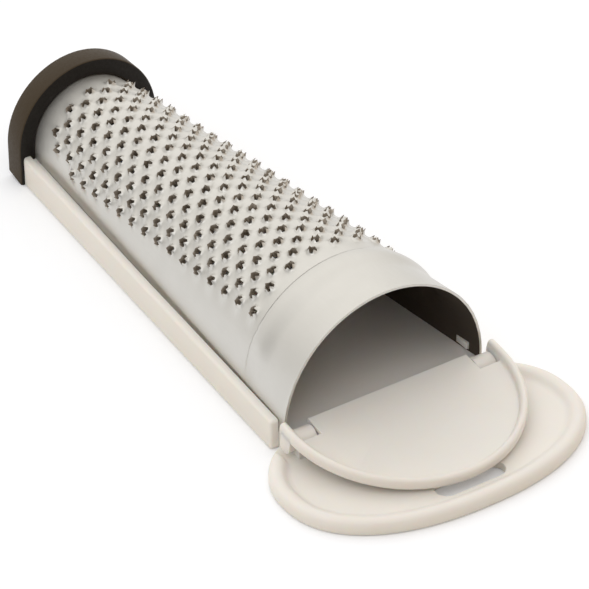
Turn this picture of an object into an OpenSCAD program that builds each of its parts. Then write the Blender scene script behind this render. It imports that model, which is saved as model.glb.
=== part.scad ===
// Nutmeg grater: a tapered half-round steel grater on a moulded base whose
// front runs out into a handle, with a hinged storage door and an end cap.
// Lengths in millimetres, +Z up, the table at Z = 0, the handle towards -Y.

/* [Grating shell] */
// Outer radius of the steel arch at its front edge
shell_front_r = 22.5; // [20:0.5:25]
// Outer radius of the steel arch where it enters the end cap
shell_rear_r = 12.7; // [11:0.1:14]
// Length of the steel arch from its front edge to the end cap
shell_len = 105.6; // [90:0.2:125]
// Thickness of the steel sheet
sheet_t = 0.5; // [0.4:0.05:0.7]
// Height of the arch's centre above the table at the front edge
front_centre_z = 5.1; // [4.8:0.1:5.6]
// Height of the arch's centre above the table at the end cap
rear_centre_z = 7.6; // [6.6:0.1:8.6]
// Height of the sheet's lower edge above the table
sheet_bottom_z = 2.6; // [2.2:0.1:3]
// Length of the plain collar at the front
collar_len = 15.8; // [12:0.2:18]
// Step from the collar down to the toothed field
collar_step = 0.6; // [0.3:0.05:0.7]
// Length over which that step falls
collar_step_len = 0.3; // [0.2:0.1:1]
// Height of the bead at the rear of the collar
bead_rise = 0.85; // [0.7:0.05:1]
// Length of the bead
bead_len = 7.3; // [5:0.1:9]
// Distance from the collar's rear end to the crest of the bead
bead_crest = 2.7; // [1.5:0.1:4]

/* [Teeth] */
// Distance between teeth along a row
tooth_pitch = 5; // [4.6:0.1:6]
// Distance between rows, measured round the arch
row_pitch = 2.67; // [2.5:0.01:3.2]
// Rows on each side of the middle row
side_rows = 7; // [4:1:7]
// Distance from the collar to the first ring of teeth
teeth_front_margin = 3.9; // [3:0.1:6]
// Least distance from the last tooth to the end cap
teeth_rear_margin = 5.8; // [4:0.1:9]
// Largest angle of a tooth from the top of the arch
tooth_limit_angle = 76; // [60:1:78]
// Height of a tooth above the sheet
tooth_h = 0.9; // [0.6:0.05:1.1]
// Radius of a tooth at its foot
tooth_foot_r = 1.15; // [1:0.05:1.2]
// Radius of a tooth at its torn tip
tooth_tip_r = 0.75; // [0.7:0.05:0.9]
// Radius of the hole through a tooth
tooth_hole_r = 0.45; // [0.3:0.05:0.6]

/* [Base] */
// Width over the side rails at the steel's front edge
rail_front_w = 48.6; // [47.4:0.1:52]
// Width over the side rails at the end cap
rail_rear_w = 31.6; // [30.5:0.1:32]
// Height of the side rails at the front
rail_front_h = 6.4; // [6:0.1:7.5]
// Height of the side rails at the end cap
rail_rear_h = 7.4; // [6:0.1:8.5]
// Thickness of the side rails
rail_t = 1.75; // [1.5:0.05:2]
// Height of the chamber floor
floor_z = 3.7; // [3.4:0.1:4]
// Thickness of the chamber floor
floor_t = 1.7; // [1.2:0.1:2]
// Width of the solid foot left under each rail
foot_w = 5; // [4.4:0.1:6]
// Side clearance of the sheet in its groove
sheet_gap = 0.12; // [0.08:0.01:0.2]

/* [Sheet snaps] */
// Distance from the steel's front edge to each snap
snap_setback = 3.1; // [2.8:0.1:5]
// Length of a snap along the rail
snap_len = 3.4; // [2:0.1:5]
// Height of a snap's underside
snap_z = 4.1; // [3.9:0.1:4.4]
// Height of a snap
snap_h = 1.5; // [1:0.1:1.8]
// How far a snap stands inside the sheet
snap_proud = 0.3; // [0.1:0.05:0.6]

/* [Handle] */
// Width of the handle
handle_w = 64.2; // [60:0.2:72]
// Reach of the handle in front of the steel's front edge
handle_reach = 34; // [32.6:0.2:42]
// Distance that the handle's oval runs back under the steel
handle_back = 5.4; // [4:0.2:7]
// Power of the handle's oval, 2 being an ellipse
handle_power = 2.26; // [2:0.02:2.6]
// Thickness of the handle's plate
handle_t = 1.8; // [1.4:0.1:1.9]
// Height of the raised rim round the handle
handle_rim_h = 3; // [2.4:0.1:3.4]
// Width of that rim
handle_rim_w = 3.3; // [2.6:0.1:3.6]
// Width of the chamfer on the rim
handle_rim_chamfer = 0.8; // [0.4:0.1:1]
// Length of the hanging slot
slot_len = 15; // [10:0.2:24]
// Width of the hanging slot
slot_w = 4.6; // [4.4:0.1:5]
// Distance from the handle's front to the hanging slot
slot_margin = 4.8; // [4.2:0.1:6]

/* [Storage door] */
// Clearance of the door's rim round the steel when it is shut
door_gap = 0.3; // [0.25:0.05:0.5]
// Clearance between the shut door and the steel's front edge
shut_gap = 0.35; // [0.3:0.05:0.6]
// Thickness of the door's rim
door_rim_t = 1.5; // [1.3:0.1:1.8]
// Thickness of the door's panel
door_panel_t = 1.05; // [0.9:0.05:1.3]
// Depth of the door from its outer face to the top of its rim
door_depth = 2.65; // [2.4:0.05:3]
// Chamfer round the door's outer face
door_chamfer = 0.5; // [0.2:0.1:0.8]

/* [Hinge] */
// Height of the hinge axis
hinge_z = 4.15; // [4.1:0.05:4.3]
// Distance from the hinge axis to the door's outer face
hinge_drop = 1.33; // [1.25:0.01:1.4]
// Radius of the hinge lugs
lug_r = 2.2; // [1.6:0.05:2.3]
// Distance between the inner faces of the two lugs
lug_span = 36.6; // [30:0.2:37]
// Width of a lug
lug_w = 3.3; // [2.6:0.1:3.4]
// Radius of the knuckles under the door
knuckle_r = 1.5; // [1.3:0.05:1.55]
// Width of a knuckle
knuckle_w = 3; // [2.6:0.1:5]
// Radius of the hinge pins
pin_r = 0.75; // [0.6:0.05:0.8]
// Depth to which a pin is held in its knuckle
pin_hold = 2.2; // [1.6:0.1:2.4]
// Radial clearance of a pin in its lug
pin_gap = 0.05; // [0.03:0.01:0.08]
// Side and end clearance between the door and the base
hinge_gap = 0.3; // [0.2:0.05:0.35]

/* [End cap] */
// Width of the cap's rim round the steel
cap_rim = 3.7; // [3.4:0.1:4.5]
// Depth of the cap
cap_depth = 5.2; // [4.8:0.1:9]
// Depth of the pocket that takes the steel's rear end
cap_pocket = 3.4; // [2.6:0.1:3.6]
// Chamfer round the cap's rear face
cap_chamfer = 0.5; // [0.2:0.1:0.8]
// How far the cap's underside rises towards the rear
cap_lift = 1.3; // [0.2:0.1:2]

/* [Hidden] */

curve_fn = 96;
oval_points = 96;
big = 400;
overlap = 0.2;

axis_tilt = atan((rear_centre_z - front_centre_z) / shell_len);
taper = (shell_front_r - shell_rear_r) / shell_len;
taper_angle = atan(taper);
insert = cap_pocket - hinge_gap;
overall_front = -handle_reach;
overall_back = shell_len + cap_depth;

bead_start_y = collar_len - bead_len;
bead_crest_y = collar_len - bead_crest;
step_y = collar_len - collar_step_len;
bead_steps = 6;

hinge_y = -(hinge_drop + door_panel_t + shut_gap);
door_in_r = shell_front_r + door_gap;
door_out_r = door_in_r + door_rim_t;
// Door's own frame: the hinge axis is its origin, the outer face looks down
door_centre_y = hinge_z - front_centre_z;
door_back_y = hinge_z - handle_t - hinge_gap;
door_tip = door_out_r - door_chamfer - door_centre_y;
door_tilt = asin(door_back_y / norm([door_tip, hinge_drop])) + atan2(hinge_drop, door_tip);
// Where the panel ends beside the lugs, so that it swings clear of the sheet
door_strip_y = sqrt(max(0, pow(hinge_y + hinge_gap, 2) - pow(hinge_drop + door_panel_t, 2)));
lug_in_x = lug_span / 2;
lug_out_x = lug_in_x + lug_w;
swing_front_y = hinge_y + hinge_drop - hinge_gap;
swing_x = door_out_r + hinge_gap;
tray_front_y = hinge_y + norm([door_back_y, hinge_drop + door_panel_t]) + hinge_gap;
rail_front_y = hinge_y + norm([door_back_y, hinge_drop + door_depth]) + hinge_gap;
cap_r = shell_rear_r + cap_rim;

// Radius of the plain cone at a distance behind the front edge
function cone_r(y) = shell_front_r - taper * y;

// Height of the collar's bead over the cone, from its start through its crest to the step
function bead(y) =
    y <= bead_crest_y
        ? bead_rise * (1 - cos(180 * (y - bead_start_y) / (bead_crest_y - bead_start_y))) / 2
        : bead_rise - (bead_rise - collar_step) * pow((y - bead_crest_y) / (step_y - bead_crest_y), 2);

// Outer line of the sheet as radius and distance, moved out by grow
function skin(grow, y0, y1) = concat(
    [[cone_r(y0) + grow, y0]],
    [
        for (i = [0 : bead_steps])
            let (y = bead_start_y + (bead_crest_y - bead_start_y) * i / bead_steps)
            [cone_r(y) + bead(y) + grow, y]
    ],
    [
        for (y = [(bead_crest_y + step_y) / 2, step_y]) [cone_r(y) + bead(y) + grow, y]
    ],
    [[cone_r(collar_len) + grow, collar_len], [cone_r(y1) + grow, y1]]
);

function turned(points) = [for (i = [len(points) - 1 : -1 : 0]) points[i]];
function flipped(points) = [for (p = points) [p[0], -p[1]]];
function other_side(points) = [for (p = points) [-p[0], p[1]]];

// Closed plan between the two sides of the sheet's line
function skin_plan(grow, y0, y1) =
    concat(skin(grow, y0, y1), turned(other_side(skin(grow, y0, y1))));

// Oval of the handle, drawn in by inset
function handle_oval(inset) = [
    for (i = [0 : oval_points - 1])
        let (
            t = 360 * i / oval_points,
            c = cos(t),
            s = sin(t),
            half_w = handle_w / 2 - inset,
            half_l = (handle_reach + handle_back) / 2 - inset
        )
        [
            half_w * sign(c) * pow(abs(c), 2 / handle_power),
            half_l * sign(s) * pow(abs(s), 2 / handle_power)
        ]
];

// Teeth in one row, as distances behind the front edge
function row_teeth(row) =
    let (
        first = collar_len + teeth_front_margin + (row % 2 == 0 ? tooth_pitch / 2 : 0),
        last = shell_len - teeth_rear_margin
    )
    [for (y = [first : tooth_pitch : last]) if (tooth_angle(row, y) <= tooth_limit_angle) y];

function tooth_angle(row, y) = abs(row) * row_pitch / cone_r(y) * 180 / PI;

// Moves the front edge's frame so that the origin is under the middle of the whole part
module placed() {
    translate([0, -(overall_front + overall_back) / 2, 0]) children();
}

// Frame of the arch: its axis along Y, rising towards the rear
module in_arch() {
    translate([0, 0, front_centre_z]) rotate([axis_tilt, 0, 0]) children();
}

// Copies to the right and left sides
module both_sides() {
    for (side = [0, 1]) mirror([side, 0, 0]) children();
}

// Everything above the sheet's lower edge and behind its front edge
module sheet_limits() {
    translate([-big / 2, 0, sheet_bottom_z]) cube([big, shell_len + insert, big]);
}

module handle_plate(inset, height, top_inset) {
    half_w = handle_w / 2 - inset;
    half_l = (handle_reach + handle_back) / 2 - inset;
    shrink = [1 - (top_inset - inset) / half_w, 1 - (top_inset - inset) / half_l];
    translate([0, (handle_back - handle_reach) / 2, 0])
        linear_extrude(height, scale = shrink) polygon(handle_oval(inset));
}

// Raised rim of the handle
module handle_rim() {
    straight_h = handle_rim_h - handle_rim_chamfer;
    difference() {
        union() {
            handle_plate(0, straight_h, 0);
            translate([0, 0, straight_h]) handle_plate(0, handle_rim_chamfer, handle_rim_chamfer);
        }
        translate([0, 0, handle_t])
            handle_plate(handle_rim_w, handle_rim_h, handle_rim_w - handle_rim_chamfer);
        translate([-big / 2, 0, handle_t]) cube([big, big, big]);
    }
}

// Plan of the tray over its side rails, drawn in by inset on each side
module tray_plan(inset) {
    front = rail_front_w / 2 - inset;
    rear = rail_rear_w / 2 - inset;
    polygon([[-front, 0], [front, 0], [rear, shell_len], [-rear, shell_len]]);
}

// Side view of the rails, from the table to their sloping tops
module rail_side() {
    rotate([90, 0, 90]) translate([0, 0, -big / 2]) linear_extrude(big)
        polygon([[0, 0], [shell_len, 0], [shell_len, rail_rear_h], [0, rail_front_h]]);
}

// Groove that takes the sheet's lower edge on both sides
module sheet_groove() {
    both_sides() translate([0, 0, sheet_bottom_z]) linear_extrude(big)
        polygon(concat(
            skin(sheet_gap, -sheet_gap, shell_len + cap_depth),
            turned(skin(-sheet_t - sheet_gap, -sheet_gap, shell_len + cap_depth))
        ));
}

module tray() {
    difference() {
        intersection() {
            linear_extrude(big) tray_plan(0);
            rail_side();
        }
        translate([0, 0, floor_z]) linear_extrude(big) {
            polygon(skin_plan(sheet_gap, -1, shell_len + cap_depth));
            tray_plan(rail_t);
        }
        // Hollow under the chamber floor
        translate([0, 0, -big + floor_z - floor_t]) linear_extrude(big) intersection() {
            tray_plan(foot_w);
            translate([-big / 2, handle_back + foot_w]) square([big, shell_len - handle_back - 2 * foot_w]);
        }
    }
    // Tongue of the floor that enters the end cap's pocket
    translate([-shell_rear_r + foot_w, shell_len - overlap, floor_z - floor_t])
        cube([2 * (shell_rear_r - foot_w), insert + overlap, floor_t]);
}

// Lug that carries one hinge pin
module hinge_lug() {
    difference() {
        union() {
            translate([lug_in_x, hinge_y - lug_r, 0]) cube([lug_w, 2 * lug_r, hinge_z]);
            translate([lug_in_x, hinge_y, hinge_z]) rotate([0, 90, 0])
                cylinder(h = lug_w, r = lug_r, $fn = curve_fn);
        }
        translate([lug_in_x - 1, hinge_y, hinge_z]) rotate([0, 90, 0])
            cylinder(h = lug_w + 2, r = pin_r + pin_gap, $fn = curve_fn);
    }
}

// Snap that stands through the sheet's slot
module snap(gap) {
    face_x = cone_r(snap_setback + snap_len / 2);
    translate([face_x - sheet_t - snap_proud - gap, snap_setback - gap, snap_z - gap])
        cube([sheet_t + snap_proud + 1 + gap, snap_len + 2 * gap, snap_h + 2 * gap]);
}

module slot() {
    slot_y = -handle_reach + slot_margin + slot_w / 2;
    for (side = [-1, 1]) translate([side * (slot_len - slot_w) / 2, slot_y, -1])
        cylinder(h = big, d = slot_w, $fn = curve_fn);
    translate([-(slot_len - slot_w) / 2, slot_y - slot_w / 2, -1]) cube([slot_len - slot_w, slot_w, big]);
}

module base_tray() {
    color("ivory") placed() {
        base_moulding();
        both_sides() snap(0);
    }
}

module base_moulding() {
    difference() {
        union() {
            difference() {
                union() {
                    tray();
                    handle_plate(0, handle_t, 0);
                    handle_rim();
                }
                // Room for the door's rear edge as it swings
                translate([-swing_x, swing_front_y, handle_t])
                    cube([2 * swing_x, tray_front_y - swing_front_y, big]);
                // Room for the ends of the door's rim, in front of the rails
                both_sides() translate([door_in_r - hinge_gap, swing_front_y, handle_t])
                    cube([swing_x - door_in_r + hinge_gap, rail_front_y - swing_front_y, big]);
            }
            both_sides() hinge_lug();
        }
        sheet_groove();
        slot();
    }
}

// The bent sheet: a half-round arch on straight legs
module bent_sheet() {
    outer = skin(0, -1, shell_len + cap_depth);
    inner = skin(-sheet_t, -1, shell_len + cap_depth);
    section = concat(outer, turned(inner));
    intersection() {
        in_arch() union() {
            rotate([90, 0, 0]) rotate_extrude(angle = 180, $fn = curve_fn) polygon(flipped(section));
            both_sides() translate([0, 0, -rear_centre_z]) linear_extrude(rear_centre_z) polygon(section);
        }
        sheet_limits();
    }
}

// Places a child on the sheet, its Z along the sheet's normal
module on_sheet(row, y) {
    rotate([0, row * row_pitch / cone_r(y) * 180 / PI, 0])
        translate([0, y, cone_r(y)]) rotate([-taper_angle, 0, 0]) children();
}

module each_tooth() {
    in_arch() for (row = [-side_rows : side_rows], y = row_teeth(row)) on_sheet(row, y) children();
}

module grater_shell() {
    color("silver") placed() difference() {
        union() {
            bent_sheet();
            each_tooth() translate([0, 0, -sheet_t / 2])
                cylinder(h = tooth_h + sheet_t / 2, r1 = tooth_foot_r, r2 = tooth_tip_r, $fn = 24);
        }
        each_tooth() translate([0, 0, -2 * sheet_t])
            cylinder(h = 3 * (tooth_h + sheet_t), r = tooth_hole_r, $fn = 24);
        both_sides() snap(sheet_gap);
    }
}

// Puts a child of the door's own frame at its open place, tipped down to the handle
module open_door() {
    placed() translate([0, hinge_y, hinge_z]) rotate([door_tilt, 0, 0]) children();
}

// Section of the door's rim: a wall with a round top and a chamfered foot
module door_rim_section() {
    wall_h = door_depth - door_rim_t / 2;
    translate([door_in_r, hinge_drop]) polygon([
        [0, 0],
        [door_rim_t - door_chamfer, 0],
        [door_rim_t, door_chamfer],
        [door_rim_t, wall_h],
        [0, wall_h]
    ]);
    translate([door_in_r + door_rim_t / 2, hinge_drop + wall_h]) circle(d = door_rim_t, $fn = curve_fn);
}

// Plan of the door's panel, with a notch round each lug and clear of the sheet's front edge
module door_panel_plan() {
    difference() {
        union() {
            translate([0, door_centre_y]) circle(r = door_in_r + overlap, $fn = curve_fn);
            translate([-door_in_r - overlap, door_centre_y])
                square([2 * (door_in_r + overlap), door_back_y - door_centre_y]);
        }
        translate([-big / 2, door_back_y]) square([big, big]);
        both_sides() translate([lug_in_x - hinge_gap, -lug_r - hinge_gap])
            square([lug_w + 2 * hinge_gap, big]);
        both_sides() translate([lug_in_x, door_strip_y]) square([door_in_r - lug_in_x, big]);
    }
}

// Knuckle that holds one pin under the door's panel
module knuckle() {
    x = lug_in_x - hinge_gap - knuckle_w;
    translate([x, -knuckle_r, 0]) cube([knuckle_w, 2 * knuckle_r, hinge_drop + overlap]);
    translate([x, 0, 0]) rotate([0, 90, 0]) cylinder(h = knuckle_w, r = knuckle_r, $fn = curve_fn);
}

// Pin from its seat in the knuckle through the lug
module pin() {
    x = lug_in_x - hinge_gap - pin_hold;
    translate([x, 0, 0]) rotate([0, 90, 0])
        cylinder(h = lug_out_x - hinge_gap - x, r = pin_r, $fn = curve_fn);
}

module storage_door() {
    ear_len = door_back_y - door_centre_y;
    color("ivory") open_door() difference() {
        union() {
            translate([0, door_centre_y, 0]) rotate([0, 0, 180])
                rotate_extrude(angle = 180, $fn = curve_fn) door_rim_section();
            both_sides() translate([0, door_back_y, 0]) rotate([90, 0, 0])
                linear_extrude(ear_len) door_rim_section();
            translate([0, 0, hinge_drop]) linear_extrude(door_panel_t) door_panel_plan();
            both_sides() knuckle();
        }
        both_sides() pin();
    }
}

module hinge_pins() {
    color("gainsboro") open_door() both_sides() pin();
}

// Front view of the cap: a half round on straight sides
module cap_outline(inset) {
    difference() {
        translate([0, rear_centre_z]) circle(r = cap_r - inset, $fn = curve_fn);
        translate([-big / 2, -big]) square([big, big + rear_centre_z]);
    }
    translate([-cap_r + inset, 0]) square([2 * (cap_r - inset), rear_centre_z]);
}

module end_cap() {
    color("dimgray") placed() difference() {
        union() {
            translate([0, overall_back - cap_chamfer, 0]) rotate([90, 0, 0])
                linear_extrude(cap_depth - cap_chamfer) cap_outline(0);
            translate([0, overall_back, 0]) rotate([90, 0, 0])
                linear_extrude(2 * cap_chamfer) cap_outline(cap_chamfer);
        }
        // Underside that rises towards the rear
        translate([-big / 2, 0, 0]) rotate([90, 0, 90]) linear_extrude(big)
            polygon([
                [shell_len + cap_chamfer, 0],
                [shell_len, -1],
                [overall_back + 1, -1],
                [overall_back + 1, cap_lift]
            ]);
        // Pocket round the steel's rear end and the floor's tongue
        translate([0, shell_len + cap_pocket, 0]) rotate([90, 0, 0]) linear_extrude(cap_pocket + 1)
            intersection() {
                union() {
                    translate([0, rear_centre_z]) circle(r = shell_rear_r + sheet_gap, $fn = curve_fn);
                    translate([-shell_rear_r - sheet_gap, 0])
                        square([2 * (shell_rear_r + sheet_gap), rear_centre_z]);
                }
                translate([-big / 2, floor_z - floor_t - sheet_gap]) square(big);
            }
    }
}

base_tray();
grater_shell();
storage_door();
hinge_pins();
end_cap();
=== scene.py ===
"""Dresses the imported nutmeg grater: punched steel sheet, moulded base, storage door and end cap."""

import logging
import math
import random
from dataclasses import dataclass, field
from enum import Enum, IntEnum
from typing import Any, Callable

import bmesh
import bpy
from bmesh.types import BMEdge, BMesh, BMFace, BMVert
from bpy.types import Material, Node, NodeSocket, NodeTree, Object
from mathutils import Matrix, Vector


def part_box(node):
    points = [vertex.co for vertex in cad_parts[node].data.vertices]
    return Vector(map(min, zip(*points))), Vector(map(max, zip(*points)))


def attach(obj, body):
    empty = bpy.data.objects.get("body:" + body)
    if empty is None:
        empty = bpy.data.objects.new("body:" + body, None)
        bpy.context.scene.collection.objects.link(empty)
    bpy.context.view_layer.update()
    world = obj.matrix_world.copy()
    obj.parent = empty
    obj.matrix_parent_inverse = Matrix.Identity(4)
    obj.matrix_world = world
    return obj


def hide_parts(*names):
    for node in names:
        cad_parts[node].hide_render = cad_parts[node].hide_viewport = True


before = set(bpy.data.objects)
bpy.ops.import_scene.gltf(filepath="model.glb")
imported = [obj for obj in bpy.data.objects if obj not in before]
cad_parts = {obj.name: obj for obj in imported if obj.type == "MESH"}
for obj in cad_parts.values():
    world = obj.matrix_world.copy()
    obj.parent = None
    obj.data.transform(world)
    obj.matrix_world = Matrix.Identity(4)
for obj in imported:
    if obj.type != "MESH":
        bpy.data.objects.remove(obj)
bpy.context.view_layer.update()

MM = 0.001
PICTURE_PX = 589
LOG = logging.getLogger("grater")

# A cut takes the corners that lie this near its plane, in millimetres
CUT_MM = 1e-5
# Corners closer than this become one
WELD_MM = 1e-4
# Slack of the tests on where a corner lies
NEAR_MM = 0.01
# Flat strip left between two roundings, so that they do not meet
STRIP_MM = 0.02
# Edges that turn by more than this count as corners of the shape
CORNER_DEG = 60.0
# Share of a normal along an axis from which a face looks that way
FACING = 0.9

Pair = tuple[float, float]
Triple = tuple[float, float, float]
Ring = Callable[[int], Pair]

# Length of the steel that shows, and Y and Z of the door's axis behind its front edge, in millimetres
STEEL_LEN = 105.6
HINGE: Pair = (-2.73, 4.15)


class Body(Enum):
    """Rigid bodies that a piece can ride on."""

    BASE = "base"
    DOOR = "door"


class Slot(Enum):
    """Material slots that the new pieces take."""

    IVORY = "ivory_plastic"
    STEEL = "steel_sheet"
    BLACK = "black_plastic"


class SheetFace(IntEnum):
    """Material numbers of the steel sheet."""

    OUTSIDE = 0
    INSIDE = 1
    TORN = 2


class CapFace(IntEnum):
    """Material numbers of the end cap."""

    BAND = 0
    FRONT = 1


def linear(code: str) -> tuple[float, float, float, float]:
    """Turns an sRGB colour, a hash sign and six hex digits, into linear values and an alpha of one."""
    channels = [int(code[i : i + 2], 16) / 255 for i in (1, 3, 5)]
    return (*[c / 12.92 if c <= 0.04045 else ((c + 0.055) / 1.055) ** 2.4 for c in channels], 1.0)


def per_metre(size_mm: float) -> float:
    """Pattern scale, in repeats per metre, for a detail of a real size in millimetres."""
    return 1 / (size_mm * MM)


def smooth_step(low: float, high: float, value: float) -> float:
    """Eased ramp from 0 at low to 1 at high."""
    t = min(max((value - low) / (high - low), 0.0), 1.0)
    return t * t * (3 - 2 * t)


def spread(low: float, high: float, cells: int) -> list[float]:
    """Even steps from low to high, with both ends."""
    return [low + (high - low) * i / cells for i in range(cells + 1)]


def arc(centre: Pair, radius: float, turns_deg: Pair, cells: int) -> list[Pair]:
    """Points of an arc from one angle to another, with both ends."""
    turns = [math.radians(a) for a in spread(*turns_deg, cells)]
    return [(centre[0] + radius * math.cos(a), centre[1] + radius * math.sin(a)) for a in turns]


def add_node(
    tree: NodeTree,
    kind: str,
    settings: dict[Any, Any] | None = None,
    links: dict[Any, Node | NodeSocket] | None = None,
    ramp: tuple[str, ...] = (),
) -> Node:
    """Adds one node with its settings and links.

    Args:
        tree: Tree that takes the node.
        kind: Blender's name of the node type, without its first part ShaderNode.
        settings: Values by input name, input number or attribute name.
        links: Output sockets, or nodes for their first output, by the input they feed.
        ramp: sRGB colours of a colour ramp's stops.

    Returns:
        The new node.
    """
    node = tree.nodes.new(f"ShaderNode{kind}")
    for key, value in (settings or {}).items():
        if isinstance(key, int) or key in node.inputs:
            node.inputs[key].default_value = value
        else:
            setattr(node, key, value)
    for key, feed in (links or {}).items():
        tree.links.new(feed.outputs[0] if isinstance(feed, Node) else feed, node.inputs[key])
    for stop, colour in enumerate(ramp):
        node.color_ramp.elements[stop].color = linear(colour)
    return node


def new_material(name: str) -> tuple[Material, NodeTree]:
    """Makes an empty node material.

    Args:
        name: The material's name.

    Returns:
        The material and its tree.
    """
    material = bpy.data.materials.new(name)
    material.use_nodes = True
    material.node_tree.nodes.clear()
    return material, material.node_tree


@dataclass(frozen=True)
class Finish:
    """A finish of two close colours in soft clouds under a fine grain."""

    name: str
    light: str
    dark: str
    metallic: float = 0.0
    ior: float = 1.5
    scatter: float = 0.0
    scatter_mm: float = 1.5
    # Reach of red, green and blue light below the surface, as shares of scatter_mm
    scatter_shares: Triple = (1.0, 0.6, 0.35)
    rough_low: float = 0.38
    rough_high: float = 0.5
    cloud_mm: float = 14.0
    cloud_detail: float = 3.0
    # Share of the clouds in the roughness, where the grain has the rest
    cloud_share: float = 0.0
    # Drawn coarser than the real grain, which is too fine to show
    grain_mm: float = 0.45
    grain_stretch: float = 1.0
    grain_depth_mm: float = 0.012
    grain_strength: float = 0.3
    # Roughness that scuffs add, and where they start and are full, before the sheet's rear edge
    scuff_rough: float = 0.0
    scuff_mm: Pair = (16.0, 4.0)

    def roughness(self, tree: NodeTree, where: NodeSocket, clouds: Node, grain: Node) -> Node:
        """Adds the nodes of the roughness.

        Args:
            tree: Tree that takes the nodes.
            where: Place on the piece.
            clouds: Pattern of the clouds.
            grain: Pattern of the grain.

        Returns:
            The node that gives the roughness.
        """
        fine = add_node(tree, "Math", {"operation": "MULTIPLY", 1: 1 - self.cloud_share}, {0: grain})
        share = {"operation": "MULTIPLY_ADD", 1: self.cloud_share}
        both = add_node(tree, "Math", share, {0: clouds, 2: fine})
        span = {"From Min": 0.3, "From Max": 0.7, "To Min": self.rough_low, "To Max": self.rough_high}
        plain = add_node(tree, "MapRange", span, {"Value": both})
        place = add_node(tree, "SeparateXYZ", links={"Vector": where})
        rear_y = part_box("grater_shell")[1].y
        start, full = [rear_y - reach * MM for reach in self.scuff_mm]
        span = {"From Min": start, "From Max": full, "To Min": 0.0, "To Max": self.scuff_rough}
        ease = {"interpolation_type": "SMOOTHSTEP", **span}
        scuffs = add_node(tree, "MapRange", ease, {"Value": place.outputs["Y"]})
        return add_node(tree, "Math", {"operation": "ADD"}, {0: plain, 1: scuffs})

    def material(self) -> Material:
        """Builds the finish's nodes and returns the material."""
        material, tree = new_material(self.name)
        where = add_node(tree, "TexCoord").outputs["Object"]
        size = {"Scale": per_metre(self.cloud_mm), "Detail": self.cloud_detail}
        clouds = add_node(tree, "TexNoise", size, {"Vector": where})
        tint = add_node(tree, "ValToRGB", links={"Fac": clouds}, ramp=(self.dark, self.light))
        stretch = {"Scale": (1.0, 1 / self.grain_stretch, 1.0)}
        along = add_node(tree, "Mapping", stretch, {"Vector": where})
        size = {"Scale": per_metre(self.grain_mm), "Detail": 2.0}
        grain = add_node(tree, "TexNoise", size, {"Vector": along})
        depth = {"Strength": self.grain_strength, "Distance": self.grain_depth_mm * MM}
        bump = add_node(tree, "Bump", depth, {"Height": grain})
        rough = self.roughness(tree, where, clouds, grain)
        body = {
            "Metallic": self.metallic,
            "IOR": self.ior,
            "Subsurface Weight": self.scatter,
            "Subsurface Radius": self.scatter_shares,
            "Subsurface Scale": self.scatter_mm * MM,
        }
        skin = {"Base Color": tint, "Roughness": rough, "Normal": bump}
        shader = add_node(tree, "BsdfPrincipled", body, skin)
        add_node(tree, "OutputMaterial", links={"Surface": shader})
        return material


@dataclass(frozen=True)
class MouldedPlastic(Finish):
    """Injection-moulded plastic: an even body colour under a fine spark-eroded grain."""

    ior: float = 1.49


@dataclass(frozen=True)
class RolledSteel(Finish):
    """Cold-rolled stainless steel: a pale metal, satin from fine scratches along the rolling direction."""

    metallic: float = 1.0
    rough_low: float = 0.3
    rough_high: float = 0.43
    cloud_mm: float = 9.0
    cloud_detail: float = 4.0
    cloud_share: float = 0.5
    grain_mm: float = 0.35
    grain_stretch: float = 14.0
    grain_depth_mm: float = 0.004
    grain_strength: float = 0.35


# Warm white body colour with a soft sheen, a little translucent so that its shadows turn warm
IVORY = MouldedPlastic("polypropylene_ivory_moulded", light="#f0ece6", dark="#eae5dd", scatter=0.3)
# Near black with a brown cast, lifted only by its sheen
BLACK = MouldedPlastic(
    "polypropylene_black_moulded", light="#3e3019", dark="#352813", rough_low=0.5, rough_high=0.62, ior=1.4
)
# Front of the black moulding, matt, its colour darkened below the band's to paint the shade on the faces
# that look forward
BLACK_FRONT_PAINTED_SHADE = MouldedPlastic(
    "polypropylene_black_front_painted_shade", light="#17110a", dark="#130e08", rough_low=0.62, rough_high=0.75, ior=1.4
)
# Bright satin outside of the sheet, duller at the rear where the cap scuffs it
STEEL = RolledSteel("stainless_sheet_cold_rolled", light="#d7d5d0", dark="#c9c7c1", scuff_rough=0.25)
# Inside of the sheet, dull, its colour darkened to paint the shade inside the chamber
STEEL_INSIDE_PAINTED_SHADE = RolledSteel(
    "stainless_sheet_inside_painted_shade", light="#6f655c", dark="#584f47", rough_low=0.5, rough_high=0.62
)
# Torn inside of a tooth, its colour darkened to paint the shade in the crater
STEEL_TORN_PAINTED_SHADE = RolledSteel(
    "stainless_sheet_torn_painted_shade", light="#a89e91", dark="#7d756a", cloud_mm=1.5, rough_low=0.42, rough_high=0.6
)
# Turned rod, bright and even
PIN_STEEL = RolledSteel("steel_rod_turned", light="#cfd1d2", dark="#bfc1c2", cloud_mm=3.0)


def front_edge_y() -> float:
    """Place of the steel's front edge in the row frame, in metres."""
    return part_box("grater_shell")[0].y


def add_object(name: str, data: bpy.types.ID) -> Object:
    """Makes an object of a new mesh, camera or light and puts it into the scene.

    Args:
        name: The object's name.
        data: What it shows.

    Returns:
        The new object.
    """
    made = bpy.data.objects.new(name, data)
    bpy.context.scene.collection.objects.link(made)
    return made


def dress_node(node: str, material: Material) -> None:
    """Gives a CAD node its finish.

    Args:
        node: The node's name.
        material: Material for its whole surface.
    """
    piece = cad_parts[node]
    piece.data.materials.clear()
    piece.data.materials.append(material)
    LOG.info("%s: CAD node, dressed", node)


def of_kind(made: list[Any], kind: type) -> list[Any]:
    """Corners, edges or faces among what an operator made."""
    return [part for part in made if isinstance(part, kind)]


def source(vert: BMVert, known: dict[BMVert, Any]) -> Any:
    """What is known of the corner that a new corner was drawn out of."""
    ends = [e.other_vert(vert) for e in vert.link_edges]
    return next(known[end] for end in ends if end in known)


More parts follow.
